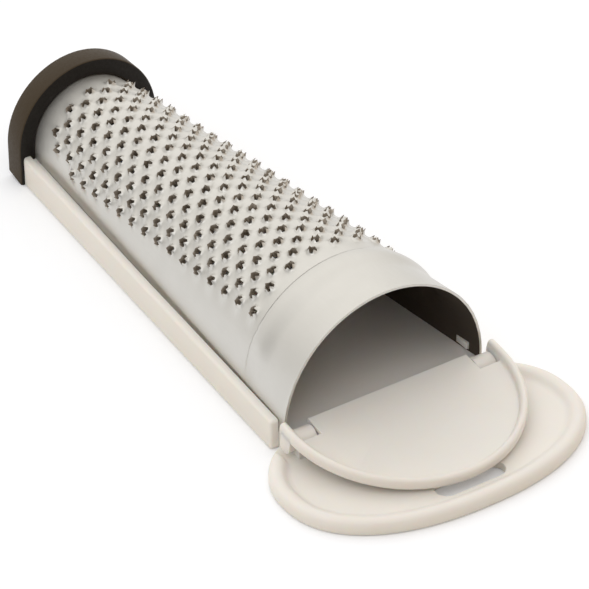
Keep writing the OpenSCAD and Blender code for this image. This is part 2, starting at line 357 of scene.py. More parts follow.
def edges_of(verts: list[BMVert]) -> list[BMEdge]:
    """Edges whose two ends are both among the corners."""
    chosen = set(verts)
    return list({e for v in verts for e in v.link_edges if chosen.issuperset(e.verts)})


def level(edge: BMEdge, axis: int) -> bool:
    """Whether both ends of an edge have the same place on an axis."""
    return abs(edge.verts[0].co[axis] - edge.verts[1].co[axis]) < NEAR_MM


@dataclass
class Piece:
    """A new piece in place of a CAD node, made in millimetres behind the steel's front edge."""

    name: str = ""
    stands_for: str = ""
    body: Body = Body.BASE
    slot: Slot = Slot.IVORY
    # Edges that turn by more than this stay crisp
    sharp_deg: float = 35.0
    bm: BMesh = field(default_factory=bmesh.new)

    def build(self) -> None:
        """Makes the piece's mesh."""
        raise NotImplementedError

    def dress(self, *materials: Material) -> Object:
        """Builds the piece, carries it to metres in the row frame and hands it over.

        Args:
            materials: Its materials, by material number.

        Returns:
            The new object.
        """
        self.build()
        bm = self.bm
        bmesh.ops.translate(bm, verts=bm.verts, vec=(0.0, front_edge_y() / MM, 0.0))
        bmesh.ops.scale(bm, verts=bm.verts, vec=(MM, MM, MM))
        for face in bm.faces:
            face.smooth = True
        mesh = bpy.data.meshes.new(self.name)
        bm.to_mesh(mesh)
        bm.free()
        mesh.set_sharp_from_angle(angle=math.radians(self.sharp_deg))
        for material in materials:
            mesh.materials.append(material)
        piece = add_object(self.name, mesh)
        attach(piece, self.body.value)
        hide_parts(self.stands_for)
        LOG.info("%s: %d faces, rides on %s", self.name, len(mesh.polygons), self.body.value)
        return piece

    def everything(self) -> list[Any]:
        """All corners, edges and faces of the mesh."""
        return self.bm.verts[:] + self.bm.edges[:] + self.bm.faces[:]

    def open_edges(self) -> list[BMEdge]:
        """Edges with only one face."""
        return [e for e in self.bm.edges if e.is_boundary]

    def sharp_edges(self) -> list[BMEdge]:
        """Edges at which two faces meet in a corner."""
        inner = [e for e in self.bm.edges if len(e.link_faces) == 2]
        return [e for e in inner if e.calc_face_angle() > math.radians(CORNER_DEG)]

    def weld(self) -> None:
        """Merges the corners that share a place."""
        bmesh.ops.remove_doubles(self.bm, verts=self.bm.verts, dist=WELD_MM)

    def face_out(self) -> None:
        """Turns every face outwards."""
        bmesh.ops.recalc_face_normals(self.bm, faces=self.bm.faces)

    def cut(self, point: Vector, normal: Vector, clear: bool = False) -> None:
        """Cuts the mesh along a plane, and clears what lies behind it where that is asked for."""
        plane = {"plane_co": point, "plane_no": normal, "dist": CUT_MM}
        bmesh.ops.bisect_plane(self.bm, geom=self.everything(), clear_inner=clear, **plane)

    def draw_edges(self, edges: list[BMEdge], way: Triple) -> None:
        """Draws faces out of edges, as far as a vector says."""
        made = bmesh.ops.extrude_edge_only(self.bm, edges=edges)["geom"]
        bmesh.ops.translate(self.bm, verts=of_kind(made, BMVert), vec=way)

    def draw_face(self, face: BMFace, way: Triple) -> list[BMVert]:
        """Draws a face out as far as a vector says.

        Args:
            face: The face, which stays where it is.
            way: The vector.

        Returns:
            Corners at the far end.
        """
        moved = of_kind(bmesh.ops.extrude_face_region(self.bm, geom=[face])["geom"], BMVert)
        bmesh.ops.translate(self.bm, verts=moved, vec=way)
        return moved

    def soften(self, edges: list[BMEdge], width: float, segments: int) -> None:
        """Rounds edges.

        Args:
            edges: Edges to round.
            width: How far the rounding reaches on each side.
            segments: Faces across the rounding.
        """
        shape = {"offset_type": "OFFSET", "affect": "EDGES", "profile": 0.5, "material": -1}
        bmesh.ops.bevel(self.bm, geom=edges, offset=width, segments=segments, clamp_overlap=True, **shape)

    def box(self, low: Triple, high: Triple) -> list[BMVert]:
        """Adds an upright box.

        Args:
            low: Its least X, Y and Z.
            high: Its greatest X, Y and Z.

        Returns:
            The box's corners.
        """
        verts = bmesh.ops.create_cube(self.bm, size=2.0)["verts"]
        for vert in verts:
            vert.co = [high[i] if vert.co[i] > 0 else low[i] for i in range(3)]
        return verts

    def side_box(self, side: int, span: Pair, low: Pair, high: Pair) -> list[BMVert]:
        """Adds an upright box on one side of the middle.

        Args:
            side: Sign of its X.
            span: Its least and greatest distance from the middle.
            low: Its least Y and Z.
            high: Its greatest Y and Z.

        Returns:
            The box's corners.
        """
        least, greatest = sorted(side * x for x in span)
        return self.box((least, *low), (greatest, *high))

    def round_end(self, verts: list[BMVert], z: float, radius: float) -> None:
        """Makes the end of a box at a height half round, with half the box's depth as its radius."""
        end = [e for e in edges_of(verts) if all(abs(v.co.z - z) < NEAR_MM for v in e.verts)]
        self.soften([e for e in end if level(e, 1)], radius - STRIP_MM, segments=8)


@dataclass
class GratingSheet(Piece):
    """The steel sheet: punched flat with torn teeth, then bent to a tapered arch on straight legs.

    Flat coordinates are the distance round from the top line, the distance behind the
    front edge and the height above the outer face, in millimetres.
    """

    name: str = "grating_sheet"
    stands_for: str = "grater_shell"
    slot: Slot = Slot.STEEL
    sharp_deg: float = 62.0
    front_r: float = 22.5
    rear_r: float = 12.7
    insert: float = 3.1
    gauge: float = 0.5
    front_centre_z: float = 5.1
    rear_centre_z: float = 7.6
    bottom_z: float = 2.6
    edge_row: float = 1.2
    collar_len: float = 15.8
    collar_foot: float = 0.4
    collar_step: float = 0.6
    collar_step_len: float = 0.3
    bead_rise: float = 0.85
    bead_len: float = 7.3
    bead_crest: float = 2.7
    bead_fade_deg: Pair = (62.0, 82.0)
    rise_cells: int = 8
    fall_cells: int = 5
    rear_cells: int = 4
    tooth_pitch: float = 5.0
    row_pitch: float = 2.67
    side_rows: int = 7
    first_tooth: float = 19.7
    last_tooth: float = 99.8
    tooth_limit_deg: float = 76.0
    cells_per_pitch: int = 6
    skew_mm_per_deg: float = 0.0245
    skew_from_deg: float = -23.0
    skew_fade: float = 1.7
    slot_rows: Pair = (2.98, 6.62)
    slot_share: int = 6
    side_shares: tuple[float, ...] = (0.15, 0.3, 0.45, 0.6, 0.72, 0.82, 0.919, 1.0)
    # A tooth: its corners and points, then its rings by radius and height, from the foot to the throat
    sides: int = 12
    points: int = 4
    foot: Pair = (1.32, 0.12)
    waist: Pair = (1.13, 0.28)
    lip_r: float = 0.95
    tip_in: float = 0.2
    tip_h: Pair = (0.78, 1.16)
    notch_out: float = 0.08
    notch_h: Pair = (0.28, 0.48)
    lean: Pair = (-0.1, 0.08)
    lip_t: float = 0.1
    lip_fall: float = 0.08
    throat_r: float = 0.55
    first_torn_ring: int = 3
    seed: int = 7

    def radius(self, y: float) -> float:
        """Outer radius of the plain cone at a distance behind the front edge."""
        return self.front_r - (self.front_r - self.rear_r) * y / STEEL_LEN

    def centre_z(self, y: float) -> float:
        """Height of the arch's centre."""
        return self.front_centre_z + (self.rear_centre_z - self.front_centre_z) * y / STEEL_LEN

    def bead_places(self) -> Triple:
        """Distances at which the pressed bead starts, is highest and falls off in a step."""
        return tuple(self.collar_len - d for d in (self.bead_len, self.bead_crest, self.collar_step_len))

    def bead(self, y: float, angle: float) -> float:
        """Height of the pressed bead at the rear of the collar.

        Args:
            y: Distance behind the front edge.
            angle: Angle from the top, in radians.

        Returns:
            The height over the cone, in millimetres.
        """
        start, crest, step = self.bead_places()
        if y <= start or y >= self.collar_len:
            return 0.0
        if y <= crest:
            rise = self.bead_rise * (1 - math.cos(math.pi * (y - start) / (crest - start))) / 2
        elif y <= step:
            fall = ((y - crest) / (step - crest)) ** 2
            rise = self.bead_rise - (self.bead_rise - self.collar_step) * fall
        else:
            rise = self.collar_step * (self.collar_len - y) / self.collar_step_len
        return rise * (1 - smooth_step(*self.bead_fade_deg, abs(math.degrees(angle))))

    def skew(self, y: float, angle_deg: float) -> float:
        """Slant of the rows of teeth round the sheet, which dies out at the collar and at the cap.

        Args:
            y: Distance behind the front edge.
            angle_deg: Signed angle from the top.

        Returns:
            Shift towards the rear, in millimetres.
        """
        within = smooth_step(self.collar_len + self.collar_foot, self.first_tooth - self.skew_fade, y)
        within *= 1 - smooth_step(self.last_tooth + self.skew_fade, STEEL_LEN, y)
        return within * self.skew_mm_per_deg * (angle_deg - self.skew_from_deg)

    def bend(self, flat: Vector) -> Vector:
        """Carries a point of the flat sheet to its place on the grater.

        Args:
            flat: Point in flat coordinates.

        Returns:
            The point, in millimetres behind the front edge.
        """
        around, y, height = flat
        limit = self.radius(y) * math.pi / 2
        angle = min(abs(around), limit) / self.radius(y)
        drop = max(abs(around) - limit, 0.0)
        y += self.skew(y, math.degrees(math.copysign(angle, around)))
        out = self.radius(y) + height + self.bead(y, angle)
        x = math.copysign(out * math.sin(angle), around)
        return Vector((x, y, self.centre_z(y) + out * math.cos(angle) - drop))

    def stations(self) -> list[float]:
        """Distances of the mesh's rows behind the front edge."""
        start, crest, step = self.bead_places()
        cell = self.tooth_pitch / self.cells_per_pitch
        # Two rows more than the teeth take at each end
        count = round((self.last_tooth - self.first_tooth) / cell) + 4
        first = self.first_tooth - 2 * cell
        last = first + cell * count
        return [
            0.0,
            self.edge_row,
            *self.slot_rows,
            *spread(start, crest, self.rise_cells),
            *spread(crest, step, self.fall_cells)[1:],
            self.collar_len,
            self.collar_len + self.collar_foot,
            *spread(first, last, count),
            *spread(last, STEEL_LEN + self.insert, self.rear_cells)[1:],
        ]

    def across(self, column: int, y: float) -> float:
        """Distance round from the top line of one mesh column.

        Args:
            column: Column number, counted from the middle, negative to the left.
            y: Distance behind the front edge.

        Returns:
            The signed distance, in millimetres.
        """
        half_field = 2 * self.side_rows + 1
        field_edge = half_field * self.row_pitch / 2
        around = abs(column) * self.row_pitch / 2
        if abs(column) > half_field:
            share = self.side_shares[abs(column) - half_field - 1]
            half_girth = self.radius(y) * math.pi / 2 + self.centre_z(y) - self.bottom_z
            around = field_edge + share * (half_girth - field_edge)
        return math.copysign(around, column)

    def teeth(self, stations: list[float]) -> list[tuple[int, int]]:
        """Mesh columns and rows that carry a tooth.

        Args:
            stations: Distances of the mesh's rows.

        Returns:
            Pairs of a column number and a row number.
        """
        first_row = min(range(len(stations)), key=lambda j: abs(stations[j] - self.first_tooth))
        found = []
        for row in range(-self.side_rows, self.side_rows + 1):
            shift = 0 if row % 2 else self.cells_per_pitch // 2
            for j in range(first_row + shift, len(stations), self.cells_per_pitch):
                angle = math.degrees(abs(row) * self.row_pitch / self.radius(stations[j]))
                if stations[j] <= self.last_tooth and angle <= self.tooth_limit_deg:
                    found.append((2 * row, j))
        return found

    def throat(self, corner: int) -> Pair:
        """Radius and height of a tooth's throat, the same at every corner."""
        return self.throat_r, -self.gauge

    def rings(self, rng: random.Random) -> list[Ring]:
        """Shapes of one tooth from its foot to its throat.

        Args:
            rng: Source of the small differences between teeth.

        Returns:
            One function a ring, from corner number to radius and height.
        """
        per_point = self.sides // self.points
        turn = rng.randrange(per_point)
        tips = [rng.uniform(*self.tip_h) for _ in range(self.sides)]
        notches = [rng.uniform(*self.notch_h) for _ in range(self.sides)]
        leans = [rng.uniform(*self.lean) for _ in range(self.sides)]

        def lip(corner: int) -> Pair:
            """Torn lip: points that lean in, with a notch between each two."""
            if (corner + turn) % per_point == 0:
                return self.lip_r - self.tip_in + leans[corner], tips[corner]
            return self.lip_r + self.notch_out + leans[corner] / 2, notches[corner]

        def inside(corner: int) -> Pair:
            """Inner face of the lip."""
            radius, height = lip(corner)
            return radius - self.lip_t, height - self.lip_fall

        return [lambda corner: self.foot, lambda corner: self.waist, lip, inside, self.throat]

    def place_ring(self, face: BMFace, middle: Vector, ring: Ring) -> None:
        """Moves a face's corners onto one ring of its tooth.

        Args:
            face: Face with one corner for each side of the tooth.
            middle: The tooth's middle.
            ring: Radius and height by corner number.
        """
        step = 2 * math.pi / self.sides
        for vert in face.verts:
            turn = math.atan2(vert.co.y - middle.y, vert.co.x - middle.x)
            corner = round(turn / step) % self.sides
            radius, height = ring(corner)
            x, y = radius * math.cos(corner * step), radius * math.sin(corner * step)
            vert.co = (middle.x + x, middle.y + y, height)

    def grid(self, stations: list[float]) -> dict[tuple[int, int], BMFace]:
        """Adds the flat sheet as a grid.

        Args:
            stations: Distances of the mesh's rows.

        Returns:
            Its faces, by their least column and row.
        """
        half_columns = 2 * self.side_rows + 1 + len(self.side_shares)
        last_row = len(stations) - 1
        bmesh.ops.create_grid(self.bm, x_segments=2 * half_columns, y_segments=last_row, size=1.0)
        place = {}
        for vert in self.bm.verts:
            column = round(vert.co.x * half_columns)
            row = round((vert.co.y + 1) / 2 * last_row)
            place[vert] = (column, row)
            vert.co = (self.across(column, stations[row]), stations[row], 0.0)
        cells = {}
        for face in self.bm.faces:
            columns, rows = zip(*[place[v] for v in face.verts])
            cells[min(columns), min(rows)] = face
        return cells

    def tear_teeth(self, faces: list[BMFace]) -> None:
        """Draws each punched outer face out into a tooth and opens its throat.

        Args:
            faces: Outer faces, one a tooth.
        """
        rng = random.Random(self.seed)
        teeth = [(face.calc_center_bounds(), self.rings(rng)) for face in faces]
        ring_count = len(teeth[0][1])
        for number in range(ring_count):
            # From this ring inward the tooth takes a darker finish that paints the shade in its crater
            if number == self.first_torn_ring:
                for face in faces:
                    face.material_index = SheetFace.TORN
            faces = bmesh.ops.extrude_discrete_faces(self.bm, faces=faces)["faces"]
            for face in faces:
                now = face.calc_center_bounds()
                middle, shape = min(teeth, key=lambda tooth: (tooth[0] - now).to_2d().length)
                self.place_ring(face, middle, shape[number])
        bmesh.ops.delete(self.bm, geom=faces, context="FACES_ONLY")

    def open_throats(self, punched: list[BMFace]) -> None:
        """Opens the inner face at the throat of each tooth.

        Args:
            punched: Inner faces, one a tooth.
        """
        made = bmesh.ops.extrude_discrete_faces(self.bm, faces=punched)["faces"]
        for face in made:
            self.place_ring(face, face.calc_center_bounds(), self.throat)
        bmesh.ops.delete(self.bm, geom=made, context="FACES_ONLY")

    def open_slots(self, slots: list[BMFace], inner: list[BMFace]) -> None:
        """Cuts the two snap slots near the front of the legs.

        Args:
            slots: Outer faces of the slots.
            inner: Inner faces of the slots.
        """
        made = bmesh.ops.extrude_discrete_faces(self.bm, faces=slots)["faces"]
        for vert in [v for face in made for v in face.verts]:
            vert.co.z = -self.gauge
        bmesh.ops.delete(self.bm, geom=made + inner, context="FACES_ONLY")

    def build(self) -> None:
        """Makes the punched and bent sheet."""
        stations = self.stations()
        cells = self.grid(stations)
        column = 2 * self.side_rows + self.slot_share + 1
        row = stations.index(self.slot_rows[0])
        slots = [cells[column, row], cells[-column - 1, row]]
        punched = []
        for column, row in self.teeth(stations):
            patch = [cells[c, r] for c in (column - 1, column) for r in range(row - 2, row + 2)]
            punched += bmesh.ops.dissolve_faces(self.bm, faces=patch, use_verts=False)["region"]
        inner = bmesh.ops.duplicate(self.bm, geom=self.everything())
        inner_punched = [inner["face_map"][f] for f in punched]
        inner_slots = [inner["face_map"][f] for f in slots]
        for vert in of_kind(inner["geom"], BMVert):
            vert.co.z = -self.gauge
        # The inner faces take a darker finish that paints the shade inside the chamber
        for face in of_kind(inner["geom"], BMFace):
            face.material_index = SheetFace.INSIDE
        self.tear_teeth(punched)
        self.open_slots(slots, inner_slots)
        self.open_throats(inner_punched)
        self.weld()
        for face in bmesh.ops.bridge_loops(self.bm, edges=self.open_edges())["faces"]:
            face.material_index = SheetFace.OUTSIDE
        for vert in self.bm.verts:
            vert.co = self.bend(vert.co)
        self.face_out()


@dataclass
class BaseMoulding(Piece):
    """The ivory base: handle with a rolled rim and a hanging slot, floor, rails, hinge lugs and snaps."""

    name: str = "base_moulding"
    stands_for: str = "base_tray"
    width: float = 64.2
    reach: float = 34.0
    back: float = 5.4
    power: float = 2.26
    plate_t: float = 1.8
    # Distance in from the outline and height, from the underside over the rim to the plate
    rim_section: tuple[Pair, ...] = (
        (0.6, 0.0), (0.2, 0.14), (0.0, 0.5), (0.0, 1.7), (0.1, 2.15), (0.4, 2.6), (0.9, 2.9),
        (1.55, 3.0), (2.2, 2.9), (2.75, 2.6), (3.15, 2.2), (3.6, 1.92), (4.3, 1.8),
    )
    oval_points: int = 192
    # Where the rim runs out: beside the door's ends, and at the tray
    swing_x: Pair = (24.7, 25.6)
    swing_y: Pair = (-5.4, -4.5)
    rim_end_y: Pair = (-0.3, 0.6)
    slot_len: float = 15.0
    slot_w: float = 4.6
    slot_y: float = -26.9
    # Distance out from the outline and height, from the underside up
    slot_section: tuple[Pair, ...] = (
        (0.3, 0.0), (0.08, 0.1), (0.0, 0.3), (0.0, 1.5), (0.08, 1.72), (0.3, 1.8),
    )
    slot_points: int = 48
    tray_front: Pair = (0.71, 2.05)
    rail_w: Pair = (48.6, 31.6)
    rail_h: float = 6.4
    rail_t: float = 1.75
    rail_round: float = 0.65
    rail_inner_round: float = 0.25
    ledge_z: float = 5.4
    ledge_gap: float = 0.02
    sheet_rear_r: float = 12.82
    floor_z: float = 3.7
    floor_t: float = 1.7
    foot_w: float = 5.0
    hollow: Pair = (10.4, 100.6)
    tongue: Pair = (7.7, 108.7)
    lug_x: Pair = (18.3, 22.5)
    lug_r: float = 2.2
    lug_foot_z: float = 0.5
    snap_x: Pair = (21.25, 22.7)
    snap_y: Pair = (3.1, 6.5)
    snap_z: Pair = (4.1, 5.6)
    snap_round: float = 0.2

    def rim_place(self, turn: float, inset: float, z: float) -> Vector:
        """Point of the oval handle's skin, with the rim let down where the door's ends swing.

        Args:
            turn: Angle round the handle, in radians.
            inset: Distance in from the outline.
            z: Height where the rim is full.

        Returns:
            The point, in millimetres.
        """
        c, s = math.cos(turn), math.sin(turn)
        half_w, half_l = self.width / 2 - inset, (self.reach + self.back) / 2 - inset
        x = half_w * math.copysign(abs(c) ** (2 / self.power), c)
        y = half_l * math.copysign(abs(s) ** (2 / self.power), s) + (self.back - self.reach) / 2
        beside = smooth_step(*self.swing_y, y) * (1 - smooth_step(*self.swing_x, abs(x)))
        down = max(beside, smooth_step(*self.rim_end_y, y))
        over = max(z - self.plate_t, 0.0)
        return Vector((x, y, min(z, self.plate_t) + over * (1 - down)))

    def slot_place(self, turn: float, grow: float, z: float) -> Vector:
        """Point of the hanging slot's skin.

        Args:
            turn: Angle round the slot, in radians.
            grow: Distance out from the outline.
            z: Height.

        Returns:
            The point, in millimetres.
        """
        c, s = math.cos(turn), math.sin(turn)
        run = (self.slot_len - self.slot_w) / 2
        r = self.slot_w / 2 + grow
        return Vector((math.copysign(run, c) + r * c, self.slot_y + r * s, z))

    def swept_loop(
        self, points: int, place: Callable[[float, float, float], Vector], section: tuple[Pair, ...]
    ) -> tuple[list[BMEdge], list[BMEdge]]:
        """Carries a closed loop along a section.

        Args:
            points: Points in the loop.
            place: Point by the angle and by the two numbers of the section.
            section: Distance from the outline and height of each ring.

        Returns:
            Edges of the first and the last ring.
        """
        verts = bmesh.ops.create_circle(self.bm, segments=points, radius=1.0)["verts"]
        turns = {v: (math.atan2(v.co.y, v.co.x) + math.pi / points) % (2 * math.pi) for v in verts}
        first = last = edges_of(verts)
        for vert, turn in turns.items():
            vert.co = place(turn, *section[0])
        for ring in section[1:]:
            made = bmesh.ops.extrude_edge_only(self.bm, edges=last)["geom"]
            last = of_kind(made, BMEdge)
            turns = {vert: source(vert, turns) for vert in of_kind(made, BMVert)}
            for vert, turn in turns.items():
                vert.co = place(turn, *ring)
        return first, last

    def handle(self) -> None:
        """Adds the handle: a plate with a rolled rim and a slot."""
        under, plate = self.swept_loop(self.oval_points, self.rim_place, self.rim_section)
        below, above = self.swept_loop(self.slot_points, self.slot_place, self.slot_section)
        for edges in (plate + above, under + below):
            bmesh.ops.triangle_fill(self.bm, edges=edges, use_beauty=True)

    def rail_x(self, y: float) -> float:
        """Half width over the rails at a distance behind the front edge."""
        front, rear = self.rail_w
        return (front + (rear - front) * y / STEEL_LEN) / 2

    def tray(self) -> None:
        """Adds the floor with its two rails, drawn from front to rear."""
        under = self.floor_z - self.floor_t
        lip_y, start = self.tray_front
        lip_x = self.rail_x(start) - self.rail_t

        def outline(y: float, edge: float) -> list[Vector]:
            """Section once round, from the foot's inner side over rail and ledge to the floor.

            Args:
                y: Distance behind the steel's front edge.
                edge: Half width between the ledges.

            Returns:
                Its corners.
            """
            out, top = self.rail_x(y), self.rail_h
            half = [
                (out - self.foot_w, under), (out - self.foot_w, 0.0), (out, 0.0),
                (out, top), (out - self.rail_t, top),
                (out - self.rail_t, self.ledge_z), (edge, self.ledge_z), (edge, self.floor_z),
            ]
            return [Vector((x, y, z)) for x, z in half] + [Vector((-x, y, z)) for x, z in half[::-1]]

        front = [self.bm.verts.new(p) for p in outline(start, lip_x - self.ledge_gap)]
        ends = dict(zip(front, outline(STEEL_LEN, self.sheet_rear_r)))
        face = self.bm.faces.new(front)
        rear = of_kind(bmesh.ops.extrude_face_region(self.bm, geom=[face])["geom"], BMVert)
        for vert in rear:
            vert.co = source(vert, ends)
        self.round_rails(front + rear)
        front_x, rear_x = [self.rail_x(y) - self.foot_w for y in (0.0, STEEL_LEN)]
        hollow_front, hollow_rear = self.hollow
        tongue_x, tongue_y = self.tongue
        for x, near, far, low, high in (
            (lip_x, lip_y, start, 0.0, self.floor_z),
            (front_x, start, hollow_front, 0.0, under),
            (rear_x, hollow_rear, STEEL_LEN, 0.0, under),
            (tongue_x, STEEL_LEN, tongue_y, under, self.floor_z),
        ):
            self.box((-x, near, low), (x, far, high))

    def round_rails(self, verts: list[BMVert]) -> None:
        """Rounds the rails' tops, front ends and outer feet.

        Args:
            verts: Corners of the floor and rails.
        """
        middle_z = (self.ledge_z + self.rail_h) / 2
        front = [v for v in verts if v.co.y < self.tray_front[1] + NEAR_MM]
        outside = [v for v in verts if abs(v.co.x) > self.rail_x(v.co.y) - NEAR_MM]
        tops = edges_of([v for v in front if v.co.z > middle_z])
        feet = edges_of([v for v in front if v.co.z < NEAR_MM])
        self.soften(list({*edges_of(outside), *tops, *feet}), self.rail_round, segments=4)
        long = [e for e in self.sharp_edges() if e.calc_length() > STEEL_LEN / 2]
        inner = [e for e in long if all(v.co.z > middle_z for v in e.verts)]
        self.soften(inner, self.rail_inner_round, segments=2)

    def lug(self, side: int) -> None:
        """Adds the hinge lug with its round head, on the side that a sign of X gives."""
        (y, z), r = HINGE, self.lug_r
        self.round_end(self.side_box(side, self.lug_x, (y - r, self.lug_foot_z), (y + r, z + r)), z + r, r)

    def snap(self, side: int) -> None:
        """Adds the snap that stands through the sheet, on the side that a sign of X gives."""
        verts = self.side_box(side, self.snap_x, *zip(self.snap_y, self.snap_z))
        self.soften(edges_of(verts), self.snap_round, segments=2)

    def build(self) -> None:
        """Makes the whole moulding."""
        self.handle()
        self.tray()
        for side in (-1, 1):
            self.lug(side)
            self.snap(side)
        self.face_out()


@dataclass
class StorageDoor(Piece):
    """The D-shaped door: a thin panel with a rolled rim, notched round the lugs, on knuckles and ears.

    It is made about its hinge axis with the outer face looking down, then tipped open.
    """

    name: str = "door_moulding"
    stands_for: str = "storage_door"
    body: Body = Body.DOOR
    in_r: float = 22.8
    rim_t: float = 1.5
    panel_t: float = 1.05
    depth: float = 2.65
    foot_round: float = 0.9
    fillet: float = 0.45
    drop: float = 1.33
    centre_y: float = -0.95
    back_y: float = 2.05
    tilt_deg: float = 7.82
    notch_x: Pair = (18.0, 22.72)
    notch_y: float = -2.5
    end_round: float = 0.5
    edge_round: float = 0.12
    edge_deg: float = 50.0
    # Knuckles and ears, and how far they run up into the door
    knuckle_r: float = 1.5
    knuckle_x: Pair = (15.0, 18.0)
    knuckle_top: float = 0.3
    ear_x: Pair = (22.82, 24.27)
    ear_top: float = 1.2
    spin_steps: int = 72

    def section(self) -> list[Pair]:
        """Half section from the middle of the outer face round the rim to the middle of the inner face."""
        out_r, top_r = self.in_r + self.rim_t, self.rim_t / 2
        face = self.drop + self.panel_t
        foot = (out_r - self.foot_round, self.drop + self.foot_round)
        top = (out_r - top_r, self.drop + self.depth - top_r)
        corner = (self.in_r - self.fillet, face + self.fillet)
        return [
            (0.0, self.drop),
            *arc(foot, self.foot_round, (-90, 0), cells=5),
            *arc(top, top_r, (0, 180), cells=10),
            *arc(corner, self.fillet, (0, -90), cells=4),
            (0.0, face),
        ]

    def dish(self) -> None:
        """Adds the panel and rim: a half turn of the section, drawn back to the straight edge."""
        verts = [self.bm.verts.new((x, self.centre_y, z)) for x, z in self.section()]
        edges = [self.bm.edges.new(pair) for pair in zip(verts, verts[1:])]
        about = {"cent": (0.0, self.centre_y, 0.0), "axis": (0.0, 0.0, -1.0), "angle": math.pi}
        bmesh.ops.spin(self.bm, geom=verts + edges, steps=self.spin_steps, use_merge=False, **about)
        self.weld()
        self.draw_edges(self.open_edges(), (0.0, self.back_y - self.centre_y, 0.0))
        bmesh.ops.edgeloop_fill(self.bm, edges=self.open_edges())
        self.face_out()

    def notch(self, side: int) -> None:
        """Cuts the notch round one lug.

        Args:
            side: Sign of the notch's X.
        """
        low, high = self.notch_x
        planes = [
            (Vector((side * low, 0, 0)), Vector((1, 0, 0))),
            (Vector((side * high, 0, 0)), Vector((1, 0, 0))),
            (Vector((0, self.notch_y, 0)), Vector((0, 1, 0))),
        ]
        for point, normal in planes:
            self.cut(point, normal)
        gone = []
        for face in self.bm.faces:
            middle = face.calc_center_median()
            if low < side * middle.x < high and middle.y > self.notch_y:
                gone.append(face)
        bmesh.ops.delete(self.bm, geom=gone, context="FACES")
        for point, normal in planes:
            wall = [
                e
                for e in self.open_edges()
                if all(abs((v.co - point).dot(normal)) < WELD_MM for v in e.verts)
                and (e.verts[0].co - e.verts[1].co).to_2d().length > WELD_MM
            ]
            bmesh.ops.bridge_loops(self.bm, edges=wall)
        self.weld()

    def round_ends(self) -> None:
        """Rounds the rear ends of the rim."""
        across = [f for f in self.bm.faces if abs(f.normal.y) > FACING]
        ends = [f for f in across if abs(f.calc_center_median().x) > self.in_r]
        self.soften(list({e for f in ends for e in f.edges}), self.end_round, segments=4)

    def knuckle(self, side: int, span: Pair, top: float) -> None:
        """Adds a round block from the hinge axis up into the door, on the side that a sign of X gives."""
        r = self.knuckle_r
        self.round_end(self.side_box(side, span, (-r, -r), (r, self.drop + top)), -r, r)

    def build(self) -> None:
        """Makes the door at its open place."""
        self.dish()
        for side in (-1, 1):
            self.notch(side)
        self.face_out()
        self.round_ends()
        for side in (-1, 1):
            self.knuckle(side, self.knuckle_x, self.knuckle_top)
            self.knuckle(side, self.ear_x, self.ear_top)
        self.face_out()
        tilt = Matrix.Rotation(math.radians(self.tilt_deg), 3, "X")
        bmesh.ops.rotate(self.bm, verts=self.bm.verts, cent=(0.0, 0.0, 0.0), matrix=tilt)
        bmesh.ops.translate(self.bm, verts=self.bm.verts, vec=(0.0, *HINGE))

    def dress(self, *materials: Material) -> Object:
        """Adds the door to the scene, with its edges softened.

        Args:
            materials: Its materials, by material number.

        Returns:
            The new object.
        """
        piece = super().dress(*materials)
        edge = piece.modifiers.new("edge", "BEVEL")
        edge.width = self.edge_round * MM
        edge.segments = 2
        edge.limit_method = "ANGLE"
        edge.angle_limit = math.radians(self.edge_deg)
        return piece


@dataclass
class EndCap(Piece):
    """The black cap: a half-round moulding on straight sides with a pocket for the sheet."""

    name: str = "cap_moulding"
    stands_for: str = "end_cap"
    slot: Slot = Slot.BLACK
    radius: float = 16.4
    centre_z: float = 7.6
    depth: float = 5.2
    lift: float = 1.3
    rim: float = 3.55
    pocket: float = 3.4
    edge: float = 0.35
    segments: int = 96

    def solid(self) -> None:
        """Adds the cap without its pocket: half a disc on straight sides, drawn to the rear."""
        place = Matrix.Translation((0.0, STEEL_LEN, self.centre_z)) @ Matrix.Rotation(math.pi / 2, 4, "X")
        disc = {"segments": self.segments, "radius": self.radius, "cap_ends": True}
        bmesh.ops.create_circle(self.bm, matrix=place, **disc)
        self.cut(Vector((0, 0, self.centre_z)), Vector((0, 0, 1)), clear=True)
        sill = [e for e in self.bm.edges if all(abs(v.co.z - self.centre_z) < NEAR_MM for v in e.verts)]
        self.draw_edges(sill, (0.0, 0.0, -self.centre_z))
        front = bmesh.ops.dissolve_faces(self.bm, faces=self.bm.faces[:], use_verts=False)["region"][0]
        for vert in self.draw_face(front, (0.0, self.depth, 0.0)):
            vert.co.z = max(vert.co.z, self.lift)
        self.face_out()

    def hollow(self) -> None:
        """Sinks the pocket into the front, the foremost of the two faces with many corners."""
        ends = [f for f in self.bm.faces if len(f.verts) > 4]
        face = min(ends, key=lambda f: f.calc_center_median().y)
        bmesh.ops.inset_region(self.bm, faces=[face], thickness=self.rim, depth=0.0, use_even_offset=True)
        self.draw_face(face, (0.0, self.pocket, 0.0))
        bmesh.ops.delete(self.bm, geom=[face], context="FACES_ONLY")

    def build(self) -> None:
        """Makes the cap."""
        self.solid()
        self.hollow()
        floor_y = STEEL_LEN + self.pocket
        rims = [
            e
            for e in self.sharp_edges()
            if level(e, 1)
            and max(v.co.z for v in e.verts) > self.lift + NEAR_MM
            and abs(e.verts[0].co.y - floor_y) > NEAR_MM
        ]
        self.soften(rims, self.edge, segments=3)
        for face in self.bm.faces:
            # Faces that look forward take the darker front finish, which paints their shade
            face.material_index = CapFace.FRONT if face.normal.y < -FACING else CapFace.BAND


